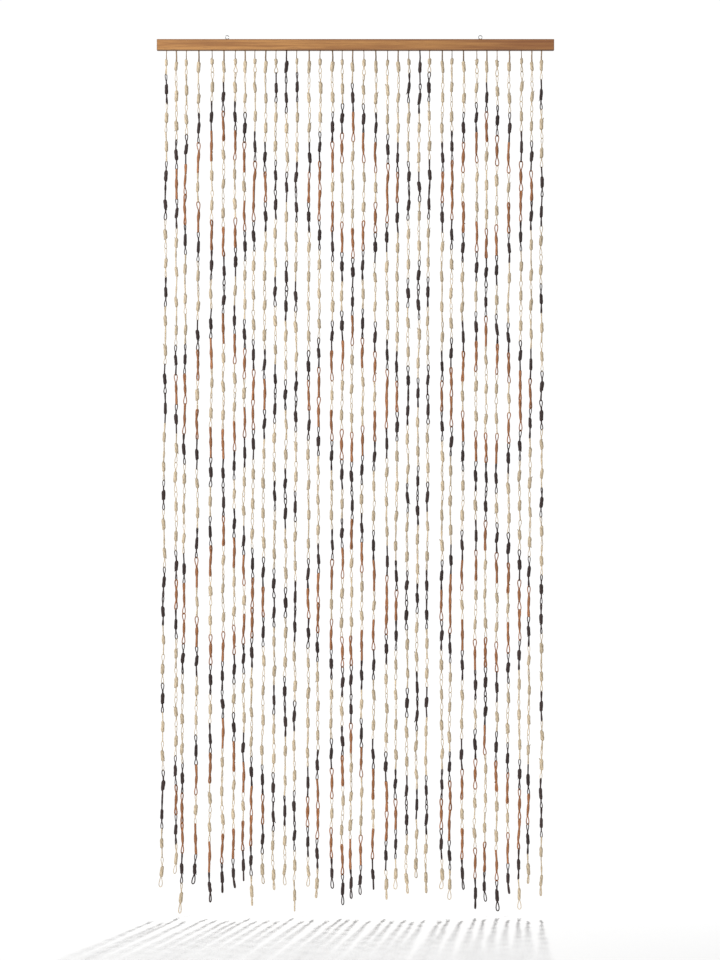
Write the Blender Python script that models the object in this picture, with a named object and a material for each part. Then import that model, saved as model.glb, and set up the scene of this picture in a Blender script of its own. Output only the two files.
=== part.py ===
"""String door curtain: chains of twisted husk links hanging from a plain wooden rail on two screw eyes.

Metres, +Z up.  The origin is midway between the centres of the two screw eyes that carry the rail.
The front faces -Y, and +X is to the right of someone who stands in front.
"""

import collections
import math
import random

import bmesh
import bpy
from mathutils import Matrix, Vector

MM = 0.001
SEAT_GAP = 0.3 * MM  # between a piece and the hole that it sits in

# Rail
RAIL_LENGTH = 0.900
RAIL_DEPTH = 0.015
RAIL_HEIGHT = 0.025
RAIL_EDGE = 0.8 * MM
RAIL_SHIFT = 4 * MM  # the rail's middle lies this far right of the midpoint between the eyes

# Screw eyes
EYE_SPACING = 0.574
EYE_RADIUS = 4.0 * MM  # to the middle of the wire
EYE_WIRE = 0.8 * MM  # radius of the wire
EYE_STEPS = 16
WIRE_SIDES = 6
SHANK_RADIUS = 1.0 * MM
SHANK_SIDES = 8
SHANK_DEPTH = 16 * MM

RAIL_TOP = -(EYE_RADIUS + EYE_WIRE + SEAT_GAP)
RAIL_UNDERSIDE = RAIL_TOP - RAIL_HEIGHT
EYE_PLACES = {"screw_eye_left": -EYE_SPACING / 2, "screw_eye_right": EYE_SPACING / 2}

# Strings: half widths of the square strand, and the wander of the links' joints
ROOT_HALF = 2.2 * MM
ROOT_DEPTH = 8 * MM
NECK_HALF = 1.2 * MM
NECK_DROP = 1 * MM
KNOT_HALF = 3.5 * MM
JOINT_HALF = 1.9 * MM
TAIL_HALF = 1.4 * MM
WANDER_SIDE = 1.3 * MM
WANDER_DEPTH = 2.0 * MM
WANDER_SEED = 40

# One row for each string, left to right, in millimetres. place is from the rail's middle, sway is how
# far the foot hangs to one side of it, hook is how far the joint under the first link lies below the
# rail, foot is how far the string reaches below the rail, and links counts its links.
String = collections.namedtuple("String", "place sway hook foot links")
STRINGS = [
    String(-428, -11, 54, 1895, 29),
    String(-406, -1, 70, 1865, 28),
    String(-383, -11, 55, 1955, 29),
    String(-355, -8, 75, 1888, 28),
    String(-325, -6, 49, 1929, 29),
    String(-298, -4, 73, 1908, 29),
    String(-272, -5, 50, 1897, 29),
    String(-250, -5, 74, 1881, 28),
    String(-228, -9, 49, 1938, 29),
    String(-203, -9, 74, 1888, 28),
    String(-180, -7, 51, 1902, 29),
    String(-156, -5, 74, 1891, 28),
    String(-133, -6, 49, 1950, 29),
    String(-105, -3, 74, 1894, 28),
    String(-80, -7, 51, 1920, 29),
    String(-52, -3, 72, 1898, 28),
    String(-30, 0, 53, 1935, 29),
    String(-6, -5, 74, 1921, 29),
    String(19, -7, 55, 1912, 29),
    String(46, -7, 74, 1900, 28),
    String(73, -4, 56, 1924, 29),
    String(97, -7, 74, 1900, 28),
    String(121, -6, 52, 1910, 29),
    String(146, -9, 76, 1875, 28),
    String(168, -9, 49, 1909, 29),
    String(197, -2, 73, 1900, 28),
    String(219, -6, 49, 1924, 29),
    String(245, -4, 73, 1900, 28),
    String(275, -5, 51, 1944, 29),
    String(298, -5, 73, 1927, 29),
    String(321, -2, 58, 1949, 29),
    String(349, -4, 73, 1910, 28),
    String(376, -6, 48, 1946, 29),
    String(400, -9, 71, 1888, 28),
    String(422, -1, 67, 1915, 29),
]

# The lattice of diamonds
FIRST_COLUMN = 5  # the string at the middle of the leftmost column of diamonds, counted from 0
COLUMN_WIDTH = 12  # strings
DIAMOND_HEIGHT = 7  # links
PLAIN, BLACK, RUST = 0, 1, 2


def make_material(name, colour, roughness, metallic=0.0):
    material = bpy.data.materials.new(name)
    material.use_nodes = True
    shader = material.node_tree.nodes["Principled BSDF"]
    shader.inputs["Base Color"].default_value = (*colour, 1.0)
    shader.inputs["Roughness"].default_value = roughness
    shader.inputs["Metallic"].default_value = metallic
    return material


def make_object(name, bm, materials):
    """Turns the bmesh into an object of this name with these materials."""
    bmesh.ops.recalc_face_normals(bm, faces=bm.faces)
    mesh = bpy.data.meshes.new(name)
    bm.to_mesh(mesh)
    bm.free()
    for material in materials:
        mesh.materials.append(material)
    obj = bpy.data.objects.new(name, mesh)
    bpy.context.collection.objects.link(obj)
    return obj


def make_cutter(name, bm):
    """A solid that only shapes another one."""
    cutter = make_object(name, bm, [])
    cutter.hide_render = True
    cutter.display_type = "WIRE"
    return cutter


def combine(obj, other, operation):
    boolean = obj.modifiers.new(other.name, "BOOLEAN")
    boolean.object = other
    boolean.operation = operation
    boolean.solver = "EXACT"


def upright_cylinder(bm, x, top, bottom, radius, sides, turn=0.0):
    """Adds a closed prism round the vertical line through x, from top down to bottom."""
    middle = Matrix.Translation((x, 0.0, (top + bottom) / 2)) @ Matrix.Rotation(turn, 4, "Z")
    bmesh.ops.create_cone(
        bm, cap_ends=True, segments=sides, radius1=radius, radius2=radius, depth=top - bottom, matrix=middle
    )


def string_x(string):
    return RAIL_SHIFT + string.place * MM


def build_rail(wood):
    """The planed strip, drilled for the strings' roots and for the shanks of the eyes."""
    bm = bmesh.new()
    centre = Matrix.Translation((RAIL_SHIFT, 0.0, (RAIL_TOP + RAIL_UNDERSIDE) / 2))
    size = Matrix.Diagonal((RAIL_LENGTH, RAIL_DEPTH, RAIL_HEIGHT, 1.0))
    bmesh.ops.create_cube(bm, size=1.0, matrix=centre @ size)
    bmesh.ops.bevel(
        bm, geom=bm.edges, offset=RAIL_EDGE, affect="EDGES", segments=1, profile=0.5, material=-1
    )
    rail = make_object("rail", bm, [wood])

    holes = bmesh.new()
    clear = 2 * MM  # how far each drill starts outside the wood
    root_radius = (ROOT_HALF + SEAT_GAP) * math.sqrt(2)
    for string in STRINGS:
        top = RAIL_UNDERSIDE + ROOT_DEPTH + SEAT_GAP
        upright_cylinder(holes, string_x(string), top, RAIL_UNDERSIDE - clear, root_radius, 4, math.pi / 4)
    for x in EYE_PLACES.values():
        bottom = RAIL_TOP - SHANK_DEPTH - SEAT_GAP
        upright_cylinder(holes, x, RAIL_TOP + clear, bottom, SHANK_RADIUS + SEAT_GAP, SHANK_SIDES)
    combine(rail, make_cutter("rail_holes", holes), "DIFFERENCE")


def build_screw_eye(name, x, steel):
    """A ring of round wire that faces the front, on a straight shank let into the rail."""
    bm = bmesh.new()
    profile = bmesh.ops.create_circle(bm, segments=WIRE_SIDES, radius=EYE_WIRE)
    bmesh.ops.translate(bm, verts=bm.verts, vec=(x + EYE_RADIUS, 0.0, 0.0))
    edges = list({edge for vert in profile["verts"] for edge in vert.link_edges})
    bmesh.ops.spin(
        bm, geom=profile["verts"] + edges, cent=(x, 0.0, 0.0), axis=(0.0, 1.0, 0.0), angle=math.tau,
        steps=EYE_STEPS, use_merge=True,
    )
    eye = make_object(name, bm, [steel])
    eye.data.shade_smooth()

    shank = bmesh.new()
    upright_cylinder(shank, x, -EYE_RADIUS, RAIL_TOP - SHANK_DEPTH, SHANK_RADIUS, SHANK_SIDES)
    combine(eye, make_cutter(name + "_shank", shank), "UNION")


def joints_of(string, seed):
    """The points where a string's links meet, from the rail down to the foot."""
    pitch = (string.foot - string.hook) / (string.links - 1)
    drops = [max(string.hook - pitch, 0.0)]
    drops += [string.hook + pitch * link for link in range(string.links)]
    wander = random.Random(seed)
    joints = []
    for drop in drops:
        side = wander.uniform(-WANDER_SIDE, WANDER_SIDE)
        depth = wander.uniform(-WANDER_DEPTH, WANDER_DEPTH)
        if drop == drops[0]:
            side = depth = 0.0
        x = string_x(string) + string.sway * MM * drop / string.foot + side
        joints.append(Vector((x, depth, RAIL_UNDERSIDE - drop * MM)))
    return joints


def dye_of(column, link):
    """The tone of one link: the outline of the diamonds is black, with a rust line inside it."""
    out = abs((column - FIRST_COLUMN + COLUMN_WIDTH // 2) % COLUMN_WIDTH - COLUMN_WIDTH // 2)
    edge = COLUMN_WIDTH // 2
    if link == 0:
        return BLACK if out == edge else PLAIN
    row = (link - 1) % DIAMOND_HEIGHT + 1
    upper = 1 + math.ceil(out / 2)
    lower = DIAMOND_HEIGHT - out // 2
    rosette = (out >= edge - 1 and row == 1) or (out == edge and row == DIAMOND_HEIGHT)
    if row in (upper, lower) or rosette:
        return BLACK
    if upper < row < lower and row in (upper + 1, lower - 1):
        return RUST
    return PLAIN


def strand_rings(string, joints, dyes):
    """(centre, half width, tone of the stretch above) down one string, root first."""
    root = Vector((string_x(string), 0.0, RAIL_UNDERSIDE + ROOT_DEPTH))
    neck = joints[0].copy()
    neck.z = min(neck.z, RAIL_UNDERSIDE - NECK_DROP)
    rings = [(root, ROOT_HALF, dyes[0]), (neck, NECK_HALF, dyes[0])]
    for link, dye in enumerate(dyes):
        last = link == len(dyes) - 1
        rings.append(((joints[link] + joints[link + 1]) / 2, KNOT_HALF, dye))
        rings.append((joints[link + 1], TAIL_HALF if last else JOINT_HALF, dye))
    return rings


def build_string(column, string, husks):
    """One chain as a square strand, thick at each link's wound knot and thin where two links join."""
    joints = joints_of(string, WANDER_SEED + column)
    dyes = [dye_of(column, link) for link in range(string.links)]
    rings = strand_rings(string, joints, dyes)

    bm = bmesh.new()
    centre, half, _ = rings[0]
    square = Matrix.Translation(centre) @ Matrix.Rotation(math.pi / 4, 4, "Z")
    bmesh.ops.create_circle(bm, cap_ends=True, segments=4, radius=half * math.sqrt(2), matrix=square)
    loop = bm.edges[:]
    for next_centre, next_half, dye in rings[1:]:
        grown = bmesh.ops.extrude_edge_only(bm, edges=loop)["geom"]
        loop = [part for part in grown if isinstance(part, bmesh.types.BMEdge)]
        for part in grown:
            if isinstance(part, bmesh.types.BMVert):
                part.co = next_centre + (part.co - centre) * (next_half / half)
            if isinstance(part, bmesh.types.BMFace):
                part.material_index = dye
        centre, half = next_centre, next_half
    bmesh.ops.contextual_create(bm, geom=loop)
    make_object("string_%02d" % (column + 1), bm, husks)


def build_curtain():
    for obj in list(bpy.data.objects):
        bpy.data.objects.remove(obj)

    wood = make_material("rail wood", (0.52, 0.26, 0.10), 0.55)
    steel = make_material("eye steel", (0.62, 0.62, 0.60), 0.30, 1.0)
    husks = [
        make_material("plain husk", (0.60, 0.50, 0.32), 0.70),
        make_material("black husk", (0.025, 0.018, 0.020), 0.60),
        make_material("rust husk", (0.36, 0.12, 0.045), 0.65),
    ]

    build_rail(wood)
    for name, x in EYE_PLACES.items():
        build_screw_eye(name, x, steel)
    for column, string in enumerate(STRINGS):
        build_string(column, string, husks)


build_curtain()
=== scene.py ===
import collections
import math
import random

import bmesh
import bpy
from mathutils import Matrix, Vector


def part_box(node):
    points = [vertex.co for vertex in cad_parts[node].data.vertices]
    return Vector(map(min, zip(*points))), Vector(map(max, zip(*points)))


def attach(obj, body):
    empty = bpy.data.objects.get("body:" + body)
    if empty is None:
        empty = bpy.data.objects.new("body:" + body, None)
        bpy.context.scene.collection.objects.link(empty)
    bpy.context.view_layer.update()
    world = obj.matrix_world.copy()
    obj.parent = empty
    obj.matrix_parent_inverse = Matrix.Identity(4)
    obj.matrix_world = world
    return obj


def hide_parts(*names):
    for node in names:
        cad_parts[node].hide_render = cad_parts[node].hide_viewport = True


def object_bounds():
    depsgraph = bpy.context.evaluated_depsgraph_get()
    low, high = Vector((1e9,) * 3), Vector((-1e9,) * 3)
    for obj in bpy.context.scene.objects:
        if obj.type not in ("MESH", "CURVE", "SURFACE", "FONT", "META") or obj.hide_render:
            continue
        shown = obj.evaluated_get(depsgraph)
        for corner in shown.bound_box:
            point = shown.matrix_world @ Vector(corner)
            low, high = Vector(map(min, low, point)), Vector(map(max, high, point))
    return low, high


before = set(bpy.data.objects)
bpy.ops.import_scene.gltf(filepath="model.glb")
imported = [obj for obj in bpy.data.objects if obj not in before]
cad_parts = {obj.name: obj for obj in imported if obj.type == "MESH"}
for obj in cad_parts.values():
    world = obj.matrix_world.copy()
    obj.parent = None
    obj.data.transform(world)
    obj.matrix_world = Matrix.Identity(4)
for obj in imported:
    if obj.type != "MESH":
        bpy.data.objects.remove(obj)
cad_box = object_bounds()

# Camera: square on to the curtain and level, at about half its height, far enough away that the
# strings stay upright in the picture. The picture is taken as 720 by 960 pixels.
PICTURE_HEIGHT = 960  # pixels
PICTURE_WIDTH = 720
PIXELS_PER_METRE = 441.1  # at the curtain, from the rail's 397 pixels for 0.9 m
ORIGIN_COLUMN = 353.7  # where the midpoint between the screw eyes lies in the picture, in pixels
ORIGIN_ROW = 37.3
CAMERA_DISTANCE = 6.0  # metres
SENSOR_SIZE = 36.0  # millimetres, along the picture's longer side

camera_data = bpy.data.cameras.new("camera")
camera_data.sensor_width = SENSOR_SIZE
camera_data.lens = SENSOR_SIZE * CAMERA_DISTANCE * PIXELS_PER_METRE / PICTURE_HEIGHT
camera = bpy.data.objects.new("camera", camera_data)
camera.location = (
    (PICTURE_WIDTH / 2 - ORIGIN_COLUMN) / PIXELS_PER_METRE,
    -CAMERA_DISTANCE,
    -(PICTURE_HEIGHT / 2 - ORIGIN_ROW) / PIXELS_PER_METRE,
)
camera.rotation_euler = (math.radians(90), 0.0, 0.0)
bpy.context.scene.collection.objects.link(camera)
bpy.context.scene.camera = camera
bpy.context.scene.view_settings.view_transform = "Standard"


# Studio: a white paper floor and white air, with a large soft lamp high on the left and a small, harder
# one high behind, which lays the strings' faint shadows on the floor in front. The air looks brighter
# to the camera than it shines on things, as a lit white wall far behind would.
class Wire:
    """One output in a material's node tree. Sums and products of wires add Math nodes."""

    def __init__(self, tree, socket=None):
        self.tree = tree
        self.socket = socket

    def node(self, kind, settings=None, inputs=None, output=0):
        """Adds a node of this type, sets it up, feeds its sockets and gives one of its outputs."""
        node = self.tree.nodes.new(kind)
        for name, value in (settings or {}).items():
            setattr(node, name, value)
        for name, value in (inputs or {}).items():
            if isinstance(value, Wire):
                self.tree.links.new(value.socket, node.inputs[name])
            else:
                node.inputs[name].default_value = value
        return Wire(self.tree, node.outputs[output])

    def math(self, operation, first, second=0.0):
        """The operation's result on two values, of which either may be a wire."""
        # A Math node's inputs share one name, so they go by number.
        return self.node("ShaderNodeMath", {"operation": operation}, {0: first, 1: second})

    def __add__(self, other):
        return self.math("ADD", self, other)

    def __radd__(self, other):
        return self.math("ADD", other, self)

    def __sub__(self, other):
        return self.math("SUBTRACT", self, other)

    def __rsub__(self, other):
        return self.math("SUBTRACT", other, self)

    def __mul__(self, other):
        return self.math("MULTIPLY", self, other)

    def __rmul__(self, other):
        return self.math("MULTIPLY", other, self)

    def mix(self, first, second):
        """A colour that goes from first to second as this wire goes from 0 to 1."""
        # A Mix node's colour sockets are its inputs 6 and 7, and its colour result is output 2.
        return self.node(
            "ShaderNodeMix", {"data_type": "RGBA", "clamp_factor": True},
            {0: self, 6: first, 7: second}, output=2,
        )

    def span(self, low, high, to_low=0.0, to_high=1.0):
        """Eased from to_low to to_high as this wire goes from low to high."""
        return self.node(
            "ShaderNodeMapRange", {"interpolation_type": "SMOOTHSTEP"},
            {"Value": self, "From Min": low, "From Max": high, "To Min": to_low, "To Max": to_high},
        )


def new_material(name):
    """A material with one Principled shader. Gives the material, its shader and a wire to build on."""
    material = bpy.data.materials.new(name)
    material.use_nodes = True
    shader = material.node_tree.nodes["Principled BSDF"]
    return material, shader, Wire(material.node_tree)


def feed(wire, shader, socket):
    """Links a wire to one of a shader's sockets."""
    wire.tree.links.new(wire.socket, shader.inputs[socket])


def finish_mesh(name, bm, material):
    """Turns a bmesh into a smooth-shaded object at the origin."""
    mesh = bpy.data.meshes.new(name)
    bm.to_mesh(mesh)
    bm.free()
    mesh.materials.append(material)
    mesh.shade_smooth()
    obj = bpy.data.objects.new(name, mesh)
    bpy.context.scene.collection.objects.link(obj)
    return obj


FLOOR_GAP = 0.010  # under the longest string
FLOOR_WIDTH = 3.0
FLOOR_DEPTH = 1.8
FLOOR_BACK = 0.02  # how far the paper goes on behind the curtain
PAPER_WHITE = 0.67

bm = bmesh.new()
bmesh.ops.create_grid(bm, x_segments=1, y_segments=1, size=0.5)
bmesh.ops.scale(bm, vec=(FLOOR_WIDTH, FLOOR_DEPTH, 1.0), verts=bm.verts)
floor_level = cad_box[0][2] - FLOOR_GAP
bmesh.ops.translate(bm, vec=(0.0, FLOOR_BACK - FLOOR_DEPTH / 2, floor_level), verts=bm.verts)
paper, paper_shader, _ = new_material("white paper")
paper_shader.inputs["Base Color"].default_value = (PAPER_WHITE, PAPER_WHITE, PAPER_WHITE, 1.0)
paper_shader.inputs["Roughness"].default_value = 0.9
paper_shader.inputs["Specular IOR Level"].default_value = 0.1
floor = finish_mesh("paper_floor", bm, paper)

AIR_SEEN = 1.03  # brightness to the camera
AIR_SHINE = 0.48  # brightness to everything else
world = bpy.data.worlds.new("studio air")
world.use_nodes = True
air = world.node_tree.nodes["Background"]
air.inputs["Color"].default_value = (1.0, 1.0, 1.0, 1.0)
seen = Wire(world.node_tree).node("ShaderNodeLightPath", output="Is Camera Ray")
feed(seen * (AIR_SEEN - AIR_SHINE) + AIR_SHINE, air, "Strength")
bpy.context.scene.world = world


def add_lamp(name, kind, power, place, aim, size):
    """A lamp at place that points at aim. size is an area lamp's side, or a point lamp's radius."""
    data = bpy.data.lights.new(name, kind)
    data.energy = power
    if kind == "AREA":
        data.size = size
    else:
        data.shadow_soft_size = size
    lamp = bpy.data.objects.new(name, data)
    lamp.location = place
    lamp.rotation_euler = (Vector(aim) - Vector(place)).to_track_quat("-Z", "Y").to_euler()
    bpy.context.scene.collection.objects.link(lamp)
    return lamp


CURTAIN_MIDDLE = (0.0, 0.0, -1.0)
add_lamp("soft lamp", "AREA", power=100.0, place=(-2.8, -2.6, 0.9), aim=CURTAIN_MIDDLE, size=1.4)
stripe_lamp = add_lamp(
    "stripe lamp", "POINT", power=1350.0, place=(0.62, 3.4, 2.6), aim=CURTAIN_MIDDLE, size=0.12
)

# The stripe lamp lights the floor alone, or the pale strings would be too bright seen from behind.
floor_only = bpy.data.collections.new("lit by the stripe lamp")
floor_only.objects.link(floor)
stripe_lamp.light_linking.receiver_collection = floor_only


# Rail: a planed strip of light brown softwood under thin satin varnish, its edges eased with sandpaper
# and its underside drilled for the strings. Its face shows long golden and reddish streaks that turn
# redder below and to the right. The darker red brown to the right is painted shade, where the lamp's
# light falls off, and the edges are painted darker.
RAIL_LOW, RAIL_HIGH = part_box("rail")
RAIL_MIDDLE = (RAIL_LOW + RAIL_HIGH) / 2
GOLD = (0.600, 0.290, 0.090, 1.0)
HONEY = (0.400, 0.172, 0.052, 1.0)
UMBER = (0.210, 0.082, 0.027, 1.0)
RED_BROWN = (0.270, 0.092, 0.034, 1.0)
EDGE_BROWN = (0.085, 0.038, 0.018, 1.0)
GRAIN_STRETCH = 0.035  # the grain's fineness along the rail, against that across it
BAND_SCALE = 130.0  # golden bands
FIBRE_SCALE = 900.0  # fine dark fibres
STREAK_SCALE = 46.0  # broad reddish streaks
FIBRE_STRENGTH = 0.65
RED_STRENGTH = 0.8
EDGE_DARKNESS = 0.62  # how dark the edges are painted
EDGE_BAND = 0.0022  # how far that darkening reaches in from each edge
GRAIN_RELIEF = 0.0006


def wood_material():
    """Streaky brown wood under a thin varnish."""
    material, shader, start = new_material("varnished softwood")
    place = start.node("ShaderNodeTexCoord", output="Object")
    from_centre = start.node("ShaderNodeMapping", None, {"Vector": place, "Location": tuple(-RAIL_MIDDLE)})
    along = start.node(
        "ShaderNodeMapping", None, {"Vector": place, "Scale": (GRAIN_STRETCH, 1.0, 1.0)}
    )
    bands = start.node(
        "ShaderNodeTexNoise", None, {"Vector": along, "Scale": BAND_SCALE, "Detail": 3.0, "Roughness": 0.55}
    )
    fibres = start.node(
        "ShaderNodeTexNoise", None, {"Vector": along, "Scale": FIBRE_SCALE, "Detail": 3.0, "Roughness": 0.7}
    )
    streaks = start.node(
        "ShaderNodeTexNoise", None, {"Vector": along, "Scale": STREAK_SCALE, "Detail": 2.0, "Roughness": 0.5}
    )
    x = start.node("ShaderNodeSeparateXYZ", None, {"Vector": from_centre}, output="X")
    z = start.node("ShaderNodeSeparateXYZ", None, {"Vector": from_centre}, output="Z")

    colour = bands.span(0.38, 0.62).mix(HONEY, GOLD)
    colour = (fibres.span(0.50, 0.74) * FIBRE_STRENGTH).mix(colour, UMBER)
    # Painted shade: towards the right the wood is mixed to a darker red brown, where the lamp's light falls
    # off. The reddish streaks and the redder part below show only there.
    shaded_to_right = x.span(-0.30, 0.45, 0.05, 1.0)
    below = z.span(0.003, -0.012, 0.0, 0.7)
    redder = start.math("MAXIMUM", streaks.span(0.38, 0.60), below) * shaded_to_right
    colour = (redder * RED_STRENGTH).mix(colour, RED_BROWN)
    half_height = (RAIL_HIGH.z - RAIL_LOW.z) / 2
    half_length = (RAIL_HIGH.x - RAIL_LOW.x) / 2
    darker_side = start.math("ABSOLUTE", z).span(half_height - EDGE_BAND, half_height, 0.0, EDGE_DARKNESS)
    darker_end = start.math("ABSOLUTE", x).span(half_length - EDGE_BAND, half_length, 0.0, EDGE_DARKNESS)
    colour = start.math("MAXIMUM", darker_side, darker_end).mix(colour, EDGE_BROWN)
    feed(colour, shader, "Base Color")
    feed(fibres.span(0.3, 0.8, 0.42, 0.58), shader, "Roughness")
    relief = bands * 0.6 + fibres * 0.4
    bump = start.node(
        "ShaderNodeBump", None, {"Height": relief, "Strength": 0.25, "Distance": GRAIN_RELIEF}
    )
    feed(bump, shader, "Normal")
    shader.inputs["Coat Weight"].default_value = 0.15
    shader.inputs["Coat Roughness"].default_value = 0.3
    return material


def add_box(bm, low, high):
    """A closed box between two opposite corners."""
    size = high - low
    place = Matrix.Translation((low + high) / 2) @ Matrix.Diagonal((size.x, size.y, size.z, 1.0))
    bmesh.ops.create_cube(bm, size=1.0, matrix=place)


def cut_away(obj, cutter):
    """Cuts the cutter out of the object for good, and removes the cutter."""
    cut = obj.modifiers.new("cut", "BOOLEAN")
    cut.operation = "DIFFERENCE"
    cut.solver = "EXACT"
    cut.object = cutter
    graph = bpy.context.evaluated_depsgraph_get()
    mesh = bpy.data.meshes.new_from_object(obj.evaluated_get(graph))
    mesh.name = obj.name
    obj.modifiers.clear()
    whole = obj.data
    obj.data = mesh
    bpy.data.meshes.remove(whole)
    bpy.data.objects.remove(cutter)


MM = 0.001
RAIL_ARRIS = 0.8 * MM  # how far each edge is eased with sandpaper
HOLE_RADIUS = 2.5 * MM
HOLE_DEPTH = 6.0 * MM
HOLE_SIDES = 24
ARRIS_SEGMENTS = 2
RAIL_SHARP = math.radians(20)  # keeps the flats flat beside the eased edges, and the holes smooth

# One row for each string, left to right, in millimetres, as the solids have it. place is where it
# leaves the rail, from the rail's middle, sway is how far its foot hangs to one side of that, hook is how
# far below the rail the joint under its first link lies, foot is how far below the rail it reaches, and
# links counts its links.
String = collections.namedtuple("String", "place sway hook foot links")
STRINGS = [
    String(-428, -11, 54, 1895, 29),
    String(-406, -1, 70, 1865, 28),
    String(-383, -11, 55, 1955, 29),
    String(-355, -8, 75, 1888, 28),
    String(-325, -6, 49, 1929, 29),
    String(-298, -4, 73, 1908, 29),
    String(-272, -5, 50, 1897, 29),
    String(-250, -5, 74, 1881, 28),
    String(-228, -9, 49, 1938, 29),
    String(-203, -9, 74, 1888, 28),
    String(-180, -7, 51, 1902, 29),
    String(-156, -5, 74, 1891, 28),
    String(-133, -6, 49, 1950, 29),
    String(-105, -3, 74, 1894, 28),
    String(-80, -7, 51, 1920, 29),
    String(-52, -3, 72, 1898, 28),
    String(-30, 0, 53, 1935, 29),
    String(-6, -5, 74, 1921, 29),
    String(19, -7, 55, 1912, 29),
    String(46, -7, 74, 1900, 28),
    String(73, -4, 56, 1924, 29),
    String(97, -7, 74, 1900, 28),
    String(121, -6, 52, 1910, 29),
    String(146, -9, 76, 1875, 28),
    String(168, -9, 49, 1909, 29),
    String(197, -2, 73, 1900, 28),
    String(219, -6, 49, 1924, 29),
    String(245, -4, 73, 1900, 28),
    String(275, -5, 51, 1944, 29),
    String(298, -5, 73, 1927, 29),
    String(321, -2, 58, 1949, 29),
    String(349, -4, 73, 1910, 28),
    String(376, -6, 48, 1946, 29),
    String(400, -9, 71, 1888, 28),
    String(422, -1, 67, 1915, 29),
]

bm = bmesh.new()
add_box(bm, RAIL_LOW, RAIL_HIGH)
bmesh.ops.bevel(
    bm, geom=bm.edges[:], offset=RAIL_ARRIS, segments=ARRIS_SEGMENTS, profile=0.5, affect="EDGES",
    material=-1,
)
rail = finish_mesh("wood_rail", bm, wood_material())
bm = bmesh.new()
for string in STRINGS:
    drilled = Matrix.Translation((RAIL_MIDDLE.x + string.place * MM, 0.0, RAIL_LOW.z))
    bmesh.ops.create_cone(
        bm, cap_ends=True, segments=HOLE_SIDES, radius1=HOLE_RADIUS, radius2=HOLE_RADIUS,
        depth=2 * HOLE_DEPTH, matrix=drilled,
    )
cut_away(rail, finish_mesh("drill", bm, rail.data.materials[0]))
rail.data.set_sharp_from_angle(angle=RAIL_SHARP)
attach(rail, "root")
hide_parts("rail")


# Screw eyes: each is one length of zinc-plated steel wire, bent out of its shank into a ring that stops
# just short of closing. The shank is turned into the rail's top until the ring stands just clear of
# the wood. The plating is bright with dull grey patches.
STEEL = (0.52, 0.52, 0.51, 1.0)
DULL_STEEL = (0.36, 0.36, 0.37, 1.0)
PATCH_SCALE = 700.0


def steel_material():
    """Bright plating with dull patches."""
    material, shader, start = new_material("zinc plated wire")
    place = start.node("ShaderNodeTexCoord", output="Object")
    patches = start.node("ShaderNodeTexNoise", None, {"Vector": place, "Scale": PATCH_SCALE, "Detail": 3.0})
    feed(patches.span(0.4, 0.65).mix(STEEL, DULL_STEEL), shader, "Base Color")
    feed(patches.span(0.3, 0.7, 0.24, 0.42), shader, "Roughness")
    shader.inputs["Metallic"].default_value = 1.0
    return material


RING_RADIUS = 4.0 * MM  # to the middle of the wire
BEND_RADIUS = 1.2 * MM
WIRE_RADIUS = 0.8 * MM
WIRE_SIDES = 12
SHANK_LENGTH = 16.0 * MM  # the straight part, which is in the wood
RING_END = math.radians(17)  # how far beside the shank the ring stops, where the wire is cut off
BEND_STEPS = 8
RING_STEPS = 44
WIRE_SHARP = math.radians(50)  # keeps the cut ends crisp and the wire smooth
EYE_PLACE = 287.0 * MM  # each side of the origin


def add_eye_wire(bm, centre):
    """One length of wire: the straight shank, a short bend to the left, and the ring to the right."""
    bend_depth = math.sqrt(RING_RADIUS * (RING_RADIUS + 2 * BEND_RADIUS))
    bend_centre = centre + Vector((-BEND_RADIUS, 0.0, -bend_depth))
    ring_start = math.asin(BEND_RADIUS / (RING_RADIUS + BEND_RADIUS))
    foot = Matrix.Translation(centre - Vector((0.0, 0.0, bend_depth + SHANK_LENGTH)))
    rim = bmesh.ops.create_circle(bm, cap_ends=True, segments=WIRE_SIDES, radius=WIRE_RADIUS, matrix=foot)
    tip = rim["verts"] + list(rim["verts"][0].link_faces)
    legs = (
        (centre, 0.0, SHANK_LENGTH, 1),
        (bend_centre, ring_start - math.pi / 2, 0.0, BEND_STEPS),
        (centre, math.tau - ring_start - RING_END, 0.0, RING_STEPS),
    )
    for pivot, turn, rise, steps in legs:
        tip = bmesh.ops.spin(
            bm, geom=tip, cent=pivot, axis=(0.0, 1.0, 0.0), dvec=(0.0, 0.0, rise), angle=turn, steps=steps
        )["geom_last"]


steel = steel_material()
for name, side in (("left", -1.0), ("right", 1.0)):
    bm = bmesh.new()
    add_eye_wire(bm, Vector((side * EYE_PLACE, 0.0, 0.0)))
    bmesh.ops.recalc_face_normals(bm, faces=bm.faces)
    eye = finish_mesh("wire_eye_" + name, bm, steel)
    eye.data.set_sharp_from_angle(angle=WIRE_SHARP)
    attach(eye, "root")
    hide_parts("screw_eye_" + name)


# Links: each is one length of husk, doubled back at both ends into a teardrop eye and wound round its
# own middle into a knot. The eyes are flat strips, thin seen from the front and broad edge-on. The
# knots are uneven and lean a little, and many keep a short cut end that sticks out.
LINK_LENGTH = 67.0  # millimetres from the hold of one eye to the hold of the other
STRIP_SIDES = 4
KNOT_SIDES = 8
CUT_END_SIDES = 4

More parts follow.
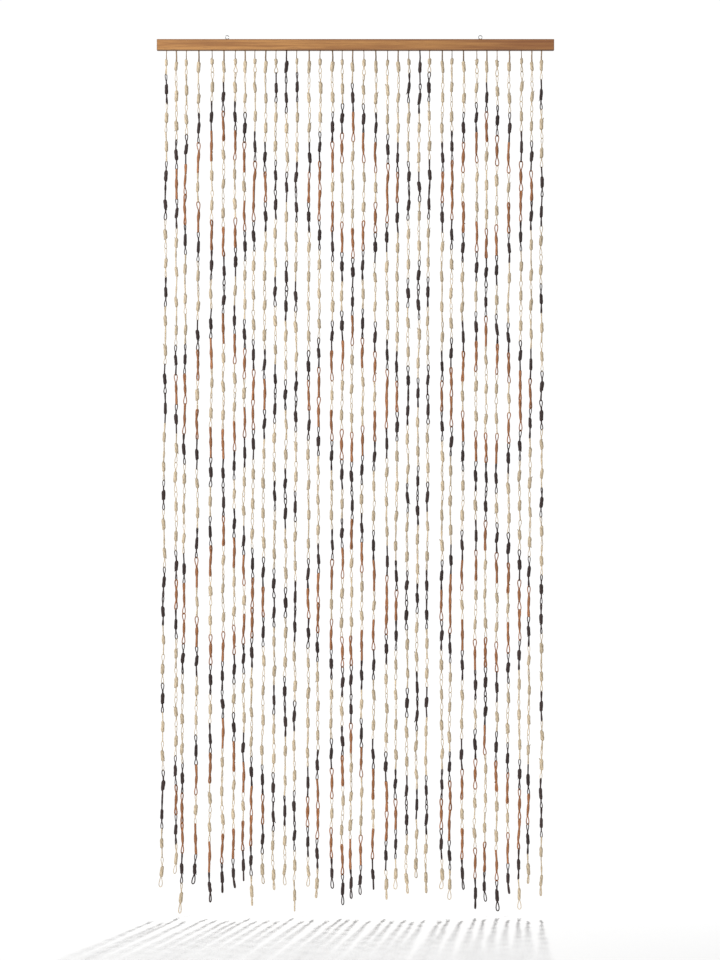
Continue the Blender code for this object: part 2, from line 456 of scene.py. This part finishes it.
# A profile gives how wide a part is at each share of its length. An eye's runs from the knot to its
# round tip, a knot's from end to end.
Point = collections.namedtuple("Point", "length width")
STEM_EYE = [
    Point(0.00, 0.26), Point(0.34, 0.24), Point(0.56, 0.76), Point(0.75, 1.00), Point(0.89, 0.86),
    Point(0.97, 0.50), Point(1.00, 0.00),
]
DROP_EYE = [
    Point(0.00, 0.24), Point(0.20, 0.34), Point(0.47, 0.80), Point(0.70, 1.00), Point(0.88, 0.86),
    Point(0.97, 0.50), Point(1.00, 0.00),
]
BLUNT_KNOT = [
    Point(0.00, 0.62), Point(0.06, 0.93), Point(0.26, 1.02), Point(0.50, 0.97), Point(0.76, 1.02),
    Point(0.94, 0.90), Point(1.00, 0.58),
]
SPINDLE_KNOT = [
    Point(0.00, 0.42), Point(0.08, 0.66), Point(0.28, 0.90), Point(0.50, 1.00), Point(0.74, 0.92),
    Point(0.92, 0.66), Point(1.00, 0.40),
]


def sweep(bm, stations, sides, turns, is_cord):
    """Grows a closed tube through stations, each a matrix that places a unit circle.

    The tube's UV map runs once round it in u and from 0 to its number of turns in v.
    """
    uv = bm.loops.layers.uv.verify()
    part = bm.verts.layers.float.get("cord") or bm.verts.layers.float.new("cord")
    ring = bmesh.ops.create_circle(bm, segments=sides, radius=1.0)["verts"]
    loop = list({edge for vert in ring for edge in vert.link_edges})
    bearing = {vert: math.atan2(vert.co.y, vert.co.x) / math.tau for vert in ring}
    height = {vert: 0.0 for vert in ring}
    skin = []
    ends = [loop]
    bmesh.ops.transform(bm, matrix=stations[0], verts=ring)
    for step, (old, new) in enumerate(zip(stations, stations[1:])):
        grown = bmesh.ops.extrude_edge_only(bm, edges=loop)["geom"]
        loop = [item for item in grown if isinstance(item, bmesh.types.BMEdge)]
        skin += [item for item in grown if isinstance(item, bmesh.types.BMFace)]
        to_circle = old.inverted()
        for vert in grown:
            if isinstance(vert, bmesh.types.BMVert):
                flat = to_circle @ vert.co
                bearing[vert] = math.atan2(flat.y, flat.x) / math.tau
                height[vert] = (step + 1) / (len(stations) - 1) * turns
                vert.co = new @ flat
    ends.append(loop)
    for end in ends:
        cap = bmesh.ops.contextual_create(bm, geom=end)["faces"]
        skin += cap
    for face in skin:
        first = bearing[face.loops[0].vert]
        for corner in face.loops:
            round_by = bearing[corner.vert]
            round_by += round(first - round_by)
            corner[uv].uv = (round_by, height[corner.vert])
    for vert in bearing:
        vert[part] = 1.0 if is_cord else 0.0
    return skin


def circle_at(centre, direction, across, radius, flat_radius):
    """The matrix that puts a unit circle round direction, with its first radius along across."""
    up = direction.normalized()
    first = (across - up * across.dot(up)).normalized()
    second = up.cross(first)
    turn = Matrix((first, second, up)).transposed().to_4x4()
    return Matrix.Translation(centre) @ turn @ Matrix.Diagonal((radius, flat_radius, 1.0, 1.0))


def add_eye(bm, root, tip, profile, half_width, facing, strip):
    """One eye: a flat strip that leaves the knot at root, turns at tip and comes back to the knot.

    strip is half the strip's breadth and half its thickness. The map grows by one turn along the strip
    for each girth of a round cord as wide as it, so the twist keeps its slant on every make.
    """
    sideways = Vector((math.cos(facing), math.sin(facing), 0.0))
    out_side = [root.lerp(tip, point.length) + sideways * half_width * point.width for point in profile]
    back_side = [
        root.lerp(tip, point.length) - sideways * half_width * point.width for point in profile[:-1]
    ]
    route = out_side + back_side[::-1]
    through = Vector((-math.sin(facing), math.cos(facing), 0.0))
    stations = []
    for step, centre in enumerate(route):
        ahead = route[min(step + 1, len(route) - 1)] - route[max(step - 1, 0)]
        stations.append(circle_at(centre, ahead, through, strip[0], strip[1]))
    sweep(bm, stations, STRIP_SIDES, 2.0 * (tip - root).length / (math.tau * strip[0]), True)


KNOT_LUMPS = (0.94, 1.07)  # the least and greatest share of its profile's width
KNOT_WAVER = 0.25  # how far its middle line strays, at most
KNOT_FLATNESS = 0.92


def add_knot(bm, low, high, profile, radius, tilt, luck):
    """The wound middle: a slightly lumpy spindle from low to high, with its ends a little aslant."""
    across = Vector((1.0, 0.0, 0.0))
    slants = [Vector((luck.uniform(-tilt, tilt), luck.uniform(-tilt, tilt), 0.0)) for _ in range(2)]
    axis = (high - low).normalized()
    stations = []
    for point in profile:
        lump = radius * point.width * luck.uniform(*KNOT_LUMPS)
        waver = Vector((luck.uniform(-KNOT_WAVER, KNOT_WAVER), luck.uniform(-KNOT_WAVER, KNOT_WAVER), 0.0))
        direction = axis + slants[0] * (1.0 - point.length) ** 3 + slants[1] * point.length ** 3
        stations.append(
            circle_at(
                low.lerp(high, point.length) + waver, direction, across, lump, lump * KNOT_FLATNESS
            )
        )
    sweep(bm, stations, KNOT_SIDES, (high - low).length / (math.tau * radius), False)


def add_cut_end(bm, place, direction, length, radius):
    """The husk's trimmed end, a short flat spike that stands out of the knot."""
    across = direction.orthogonal()
    stations = [
        circle_at(place, direction, across, radius, radius * 0.6),
        circle_at(place + direction * length, direction, across, radius * 0.75, radius * 0.3),
    ]
    sweep(bm, stations, CUT_END_SIDES, 1.0, False)


# The makes of link, in millimetres: half the strip's breadth and thickness, half the eye's width to the
# middle of the strip, the profiles, the knot's radius and length, how far the knot leans at each end,
# how much its ends slant, and how often a cut end shows.
Make = collections.namedtuple("Make", "strip eye eye_profile knot_profile knot length lean tilt cut_ends")
PALE = Make((1.30, 0.80), 2.90, STEM_EYE, BLUNT_KNOT, 4.20, 23.5, 1.2, 0.45, 0.60)
DARK = Make((1.60, 1.20), 2.85, STEM_EYE, BLUNT_KNOT, 4.25, 25.0, 1.2, 0.45, 0.65)
SLIM = Make((2.35, 1.20), 3.40, DROP_EYE, SPINDLE_KNOT, 3.85, 29.0, 1.1, 0.25, 0.25)
SHORT = Make((1.20, 0.95), 3.40, STEM_EYE, BLUNT_KNOT, 3.90, 12.5, 0.5, 0.60, 0.8)
SHORT_LENGTH = 52.0  # from the rail to the joint under a short first link, as made
LONG_LENGTH = 73.0  # the same for a long one
FOOT_EYE = 1.30  # how much wider the last eye of a string is than the others, with no pull on it
FOOT_STRIP = 1.15  # how much thicker its strip is
FOOT_SWING = 3.0  # how far the end of the last eye, and of the last link, hangs to one side, at most
KNOT_SHIFT = 1.1  # how far a knot's middle lies off the line between the holds, at most
KNOT_SLIDE = 1.5  # how far it lies above or below the middle of the link, at most
KNOT_GIRTHS = (0.90, 1.08)  # the least and greatest share of the make's own measure
KNOT_LENGTHS = (0.86, 1.12)
EYE_WIDTHS = (0.85, 1.15)
EYE_ROOT = 0.18  # how far into the knot an eye's strip goes, as a share of half the knot
EYE_TWIST = 0.3  # radians, how far the lower eye is out of line or out of square with the upper
CUT_END_LENGTHS = (3.0, 4.6)
CUT_END_RADII = (1.0, 1.4)

# A link's mesh, with how far round its lower eye is turned from its upper one.
Link = collections.namedtuple("Link", "mesh turn")


def save_link(name, bm):
    """Gives the finished link, made in millimetres, as a mesh in metres."""
    bmesh.ops.recalc_face_normals(bm, faces=bm.faces)
    bmesh.ops.scale(bm, vec=(MM, MM, MM), verts=bm.verts)
    mesh = bpy.data.meshes.new(name)
    bm.to_mesh(mesh)
    bm.free()
    return mesh


def make_link(name, make, foot, luck):
    """One link, upright, with the holds of its eyes LINK_LENGTH apart. foot opens the lower eye."""
    bm = bmesh.new()
    radius = make.knot * luck.uniform(*KNOT_GIRTHS)
    length = make.length * luck.uniform(*KNOT_LENGTHS)
    slide = luck.uniform(-KNOT_SLIDE, KNOT_SLIDE)
    lean = Vector((luck.uniform(-make.lean, make.lean), luck.uniform(-make.lean, make.lean), length / 2))
    middle = Vector((luck.uniform(-KNOT_SHIFT, KNOT_SHIFT), luck.uniform(-KNOT_SHIFT, KNOT_SHIFT), slide))
    high = middle + lean
    low = middle - lean
    add_knot(bm, low, high, make.knot_profile, radius, make.tilt, luck)

    hold = LINK_LENGTH / 2 + make.strip[1]
    turn = luck.choice((0.0, math.pi / 2)) + luck.uniform(-EYE_TWIST, EYE_TWIST)
    for end, tip_z, facing in ((high, hold, 0.0), (low, -hold, turn)):
        half_width = make.eye * luck.uniform(*EYE_WIDTHS)
        tip = Vector((0.0, 0.0, tip_z))
        profile = make.eye_profile
        strip = make.strip
        if foot and end is low:
            half_width *= FOOT_EYE
            tip.x += luck.uniform(-FOOT_SWING, FOOT_SWING)
            profile = DROP_EYE
            strip = [half * FOOT_STRIP for half in strip]
        root = end.lerp(middle, EYE_ROOT)
        add_eye(bm, root, tip, profile, half_width, facing, strip)
    if luck.random() < make.cut_ends:
        end, out = luck.choice(((low, -1.0), (high, 1.0)))
        bearing = luck.uniform(0.0, math.tau)
        rim = Vector((math.cos(bearing), math.sin(bearing), 0.0))
        start = end + rim * radius * 0.62 - Vector((0.0, 0.0, out * 1.5))
        direction = (rim * 0.6 + Vector((0.0, 0.0, out))).normalized()
        add_cut_end(bm, start, direction, luck.uniform(*CUT_END_LENGTHS), luck.uniform(*CUT_END_RADII))
    return Link(save_link(name, bm), turn)


START_GIRTHS = (0.90, 1.12)
START_LENGTHS = (0.85, 1.2)
START_EYE_WIDTHS = (0.9, 1.2)
START_CUT_END = (3.2, 1.3)  # length and radius


def make_starter(name, make, length, luck):
    """The first link under the rail, without the cord above its knot: a knot and one eye below."""
    bm = bmesh.new()
    radius = make.knot * luck.uniform(*START_GIRTHS)
    height = make.length * luck.uniform(*START_LENGTHS)
    lean = Vector((luck.uniform(-make.lean, make.lean), luck.uniform(-make.lean, make.lean), height / 2))
    add_knot(bm, -lean, lean, make.knot_profile, radius, make.tilt, luck)
    tip = Vector((0.0, 0.0, -length / 2 - make.strip[1]))
    half_width = make.eye * luck.uniform(*START_EYE_WIDTHS)
    add_eye(bm, -lean * 0.6, tip, make.eye_profile, half_width, 0.0, make.strip)
    if luck.random() < make.cut_ends:
        side = luck.choice((-1.0, 1.0))
        direction = Vector((side, 0.0, 0.5)).normalized()
        add_cut_end(bm, Vector((side * radius * 0.5, 0.0, height * 0.2)), direction, *START_CUT_END)
    return Link(save_link(name, bm), 0.0)


ROOT_REACH = 4.0  # how far a string's plug goes up into the rail
PLUG_END = 0.9  # how far up in the hole the plug stops and the cord begins to narrow
PLUG_RADIUS = 3.9  # to the corners of the square plug, whose flats then reach past the hole's rim
STEM_BREADTHS = (0.85, 0.85, 0.95, 1.15)  # of the strip's own breadth, from the rail down


def make_stem(length, strip, luck):
    """The cord between the rail and the knot of a first link, from inside the one into the other."""
    bm = bmesh.new()
    across = Vector((math.cos(luck.uniform(-0.5, 0.5)), 0.5, 0.0))
    upwards = Vector((0.0, 0.0, 1.0))
    bend = Vector((luck.uniform(-0.8, 0.8), luck.uniform(-0.5, 0.5), -length * 0.5))
    route = [Vector((0.0, 0.0, 0.6)), Vector((0.0, 0.0, -1.0)), bend, Vector((0.0, 0.0, -length))]
    stations = [
        circle_at(Vector((0.0, 0.0, height)), upwards, across, PLUG_RADIUS, PLUG_RADIUS)
        for height in (ROOT_REACH, PLUG_END)
    ]
    stations += [
        circle_at(centre, upwards, across, strip[0] * breadth, strip[1])
        for centre, breadth in zip(route, STEM_BREADTHS)
    ]
    sweep(bm, stations, STRIP_SIDES, length / (math.tau * strip[0]), True)
    return save_link("stem", bm)


LINK_KINDS = 12  # different links of each of the three main makes
SPARE_KINDS = 5  # different last links and first links
LINK_SEED = 7
luck = random.Random(LINK_SEED)
pale_links = [make_link("pale_link", PALE, False, luck) for _ in range(LINK_KINDS)]
dark_links = [make_link("dark_link", DARK, False, luck) for _ in range(LINK_KINDS)]
slim_links = [make_link("slim_link", SLIM, False, luck) for _ in range(LINK_KINDS)]
pale_feet = [make_link("pale_foot", PALE, True, luck) for _ in range(SPARE_KINDS)]
dark_feet = [make_link("dark_foot", DARK, True, luck) for _ in range(SPARE_KINDS)]
short_starts = [make_starter("short_start", SHORT, SHORT_LENGTH, luck) for _ in range(SPARE_KINDS)]
pale_starts = [make_starter("pale_start", PALE, LONG_LENGTH, luck) for _ in range(SPARE_KINDS)]
dark_starts = [make_starter("dark_start", DARK, LONG_LENGTH, luck) for _ in range(SPARE_KINDS)]


# Husk: dried maize husk, pale straw as it grows or dyed near black or rust brown. It is matt, with
# fine fibres along the strip, and the twist shows as slanting grooves on the eyes and the knots, with
# painted shade in the grooves. The open strips are painted lighter than the knots, partly as painted light.
STRIP_PALER_AND_LIT = 0.26  # how much lighter the open strip is painted than the wound knot, partly for its paler husk and partly as painted light that the open strip catches
EYE_STRANDS = 2.0  # strands round an eye's strip
EYE_SLANT = 1.3  # how far the twist goes on for each turn of the map along the strip
KNOT_STRANDS = 3.0
KNOT_SLANT = 2.0
FIBRES_ACROSS = 9.0  # for each strand
FIBRES_ALONG = 130.0  # for each metre, so the fibres are long
APART = 5.0  # sets the eyes' fibres apart from the knots'
BLOTCH_SCALE = 260.0
GROOVE_DEPTH = 0.0006


def husk_material():
    """Matt twisted husk that takes its tone from the husk attribute and its twist, with painted shade in its
    grooves, from the UV map.
    """
    material, shader, start = new_material("twisted husk")
    tone = start.node("ShaderNodeAttribute", {"attribute_name": "husk"})
    is_cord = start.node("ShaderNodeAttribute", {"attribute_name": "cord"}, output="Fac")
    strip = start.node("ShaderNodeUVMap")
    place = start.node("ShaderNodeTexCoord", output="Object")
    u = start.node("ShaderNodeSeparateXYZ", None, {"Vector": strip}, output="X")
    v = start.node("ShaderNodeSeparateXYZ", None, {"Vector": strip}, output="Y")
    z = start.node("ShaderNodeSeparateXYZ", None, {"Vector": place}, output="Z")

    # A whole number of strands goes round a part, so the slanting strands meet at the map's seam.
    # Each strand is 0 at one edge and 1 at the other.
    on_eye = u * EYE_STRANDS + v * EYE_SLANT
    on_knot = u * KNOT_STRANDS + v * KNOT_SLANT
    strand = start.math("FRACT", is_cord * on_eye + (1.0 - is_cord) * on_knot)
    from_edge = 1.0 - start.math("ABSOLUTE", strand * 2.0 - 1.0)
    along = start.node(
        "ShaderNodeCombineXYZ", None,
        {"X": strand * FIBRES_ACROSS, "Y": z * FIBRES_ALONG, "Z": is_cord * APART},
    )
    fibre = start.node("ShaderNodeTexNoise", None, {"Vector": along, "Scale": 1.0, "Detail": 3.0})
    blotch = start.node("ShaderNodeTexNoise", None, {"Vector": place, "Scale": BLOTCH_SCALE, "Detail": 3.0})
    # Painted shade: each strand's colour darkens towards its edges, in the grooves between strands. Blotches
    # and fibres vary the tone.
    shade = from_edge.span(0.0, 0.32, 0.55, 1.0) * blotch.span(0.3, 0.7, 0.84, 1.12)
    # Partly painted light: the open strip is made lighter than the knot.
    shade = shade * fibre.span(0.3, 0.7, 0.80, 1.14) * (1.0 + is_cord * STRIP_PALER_AND_LIT)
    colour = start.node("ShaderNodeVectorMath", {"operation": "SCALE"}, {"Vector": tone, "Scale": shade})
    feed(colour, shader, "Base Color")
    feed(blotch.span(0.3, 0.7, 0.52, 0.74), shader, "Roughness")
    relief = from_edge.span(0.0, 0.60) * 0.75 + fibre * 0.25
    bump = start.node("ShaderNodeBump", None, {"Height": relief, "Strength": 0.8, "Distance": GROOVE_DEPTH})
    feed(bump, shader, "Normal")
    shader.inputs["Specular IOR Level"].default_value = 0.4
    return material


husk = husk_material()


# Strings: each hangs from its own root in the rail as a chain of links, every eye looped through the
# next at about a right angle. The links are dyed in the order that makes the three columns of
# diamonds: black outlines, a rust line inside each, and plain husk in the field.

WANDER_SIDE = 1.3  # how far a joint strays from its string's line, at most, as in the solids
WANDER_DEPTH = 2.0
WANDER_SEED = 40
STRING_SEED = 1000

FIRST_COLUMN = 5  # the string at the middle of the leftmost column of diamonds, counted from 0
COLUMN_WIDTH = 12  # strings
DIAMOND_HEIGHT = 7  # links
PLAIN, BLACK, RUST, BROWN = 0, 1, 2, 3
HUSK_TONES = {
    PLAIN: (0.725, 0.585, 0.402),
    BLACK: (0.048, 0.028, 0.025),
    RUST: (0.420, 0.173, 0.070),
    BROWN: (0.310, 0.215, 0.135),
}
TONE_SPREAD = {PLAIN: 0.12, BLACK: 0.25, RUST: 0.12, BROWN: 0.35}  # how much lighter or darker, at most
SHORT_STEM = 24.0  # millimetres from the rail into the knot of a short first link
LONG_STEM = 31.0  # the same for a long first link
THIN_STEM = (1.20, 1.00)  # half the cord's breadth and half its thickness
THICK_STEM = (2.00, 1.50)
EYE_SWING = 0.22  # radians either way that a link is turned out of square with its neighbours


def joints_of(string, seed):
    """The points where a string's links meet, from the rail down to the foot."""
    pitch = (string.foot - string.hook) / (string.links - 1)
    drops = [max(string.hook - pitch, 0.0)]
    drops += [string.hook + pitch * link for link in range(string.links)]
    wander = random.Random(seed)
    joints = []
    for drop in drops:
        side = wander.uniform(-WANDER_SIDE, WANDER_SIDE) * MM
        depth = wander.uniform(-WANDER_DEPTH, WANDER_DEPTH) * MM
        if drop == drops[0]:
            side = depth = 0.0
        x = RAIL_MIDDLE.x + (string.place + string.sway * drop / string.foot) * MM + side
        joints.append(Vector((x, depth, RAIL_LOW.z - drop * MM)))
    return joints


def dye_of(column, link):
    """The tone of one link: the outline of the diamonds is black, with a rust line inside it."""
    out = abs((column - FIRST_COLUMN + COLUMN_WIDTH // 2) % COLUMN_WIDTH - COLUMN_WIDTH // 2)
    edge = COLUMN_WIDTH // 2
    if link == 0:
        return BLACK if out == edge else PLAIN
    row = (link - 1) % DIAMOND_HEIGHT + 1
    upper = 1 + math.ceil(out / 2)
    lower = DIAMOND_HEIGHT - out // 2
    rosette = (out >= edge - 1 and row == 1) or (out == edge and row == DIAMOND_HEIGHT)
    if row in (upper, lower) or rosette:
        return BLACK
    if upper < row < lower and row in (upper + 1, lower - 1):
        return RUST
    return PLAIN


def link_place(top, bottom, facing, length):
    """The matrix that hangs a link of this length between two joints, turned about it by facing."""
    hang = top - bottom
    upright = hang.to_track_quat("Z", "Y").to_matrix().to_4x4()
    stretch = Matrix.Diagonal((1.0, 1.0, hang.length / (length * MM), 1.0))
    return Matrix.Translation((top + bottom) / 2) @ upright @ Matrix.Rotation(facing, 4, "Z") @ stretch


def add_part(bm, mesh, place, tone):
    """Adds a link's mesh to a string at its place, in this tone."""
    before = len(bm.verts)
    bm.from_mesh(mesh)
    tone_layer = bm.verts.layers.float_color.get("husk") or bm.verts.layers.float_color.new("husk")
    bm.verts.ensure_lookup_table()
    added = bm.verts[before:]
    bmesh.ops.transform(bm, matrix=place, verts=added)
    for vert in added:
        vert[tone_layer] = (*tone, 1.0)


def tone_of(dye, luck):
    """The dye's tone, a little lighter or darker each time."""
    light = 1.0 + luck.uniform(-TONE_SPREAD[dye], TONE_SPREAD[dye])
    return [channel * light for channel in HUSK_TONES[dye]]


def build_string(column, string):
    """Hangs one string's stem and links from the rail, as one piece."""
    luck = random.Random(STRING_SEED + column)
    joints = joints_of(string, WANDER_SEED + column)
    bm = bmesh.new()
    start = Vector((joints[0].x, joints[0].y, RAIL_LOW.z))
    is_short = joints[0].z == RAIL_LOW.z
    dye = dye_of(column, 0)
    stem_tone = tone_of(BLACK if dye == BLACK else BROWN, luck)
    stem = make_stem(SHORT_STEM, THIN_STEM, luck) if is_short else make_stem(LONG_STEM, THICK_STEM, luck)
    add_part(bm, stem, Matrix.Translation(start), stem_tone)
    bpy.data.meshes.remove(stem)

    if is_short:
        first, length = luck.choice(short_starts), SHORT_LENGTH
    else:
        first, length = luck.choice(dark_starts if dye == BLACK else pale_starts), LONG_LENGTH
    lower_facing = luck.uniform(-EYE_SWING, EYE_SWING)
    add_part(bm, first.mesh, link_place(start, joints[1], lower_facing, length), tone_of(dye, luck))
    joints[-1].x += luck.uniform(-FOOT_SWING, FOOT_SWING) * MM
    for number in range(1, string.links):
        dye = dye_of(column, number)
        if number == string.links - 1:
            link = luck.choice(dark_feet if dye == BLACK else pale_feet)
        else:
            link = luck.choice({PLAIN: pale_links, BLACK: dark_links, RUST: slim_links}[dye])
        # The next link settles halfway from square with the eye above it to square with the rail.
        square = lower_facing + math.pi / 2
        settled = round(square / (math.pi / 2)) * math.pi / 2
        facing = (square + settled) / 2 + luck.uniform(-EYE_SWING, EYE_SWING)
        place = link_place(joints[number], joints[number + 1], facing, LINK_LENGTH)
        add_part(bm, link.mesh, place, tone_of(dye, luck))
        lower_facing = facing + link.turn
    node = "string_%02d" % (column + 1)
    obj = finish_mesh("husk_" + node, bm, husk)
    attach(obj, "root")
    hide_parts(node)


for column, string in enumerate(STRINGS):
    build_string(column, string)

used_links = pale_links + dark_links + slim_links + pale_feet + dark_feet
used_links += short_starts + pale_starts + dark_starts
for link in used_links:
    bpy.data.meshes.remove(link.mesh)
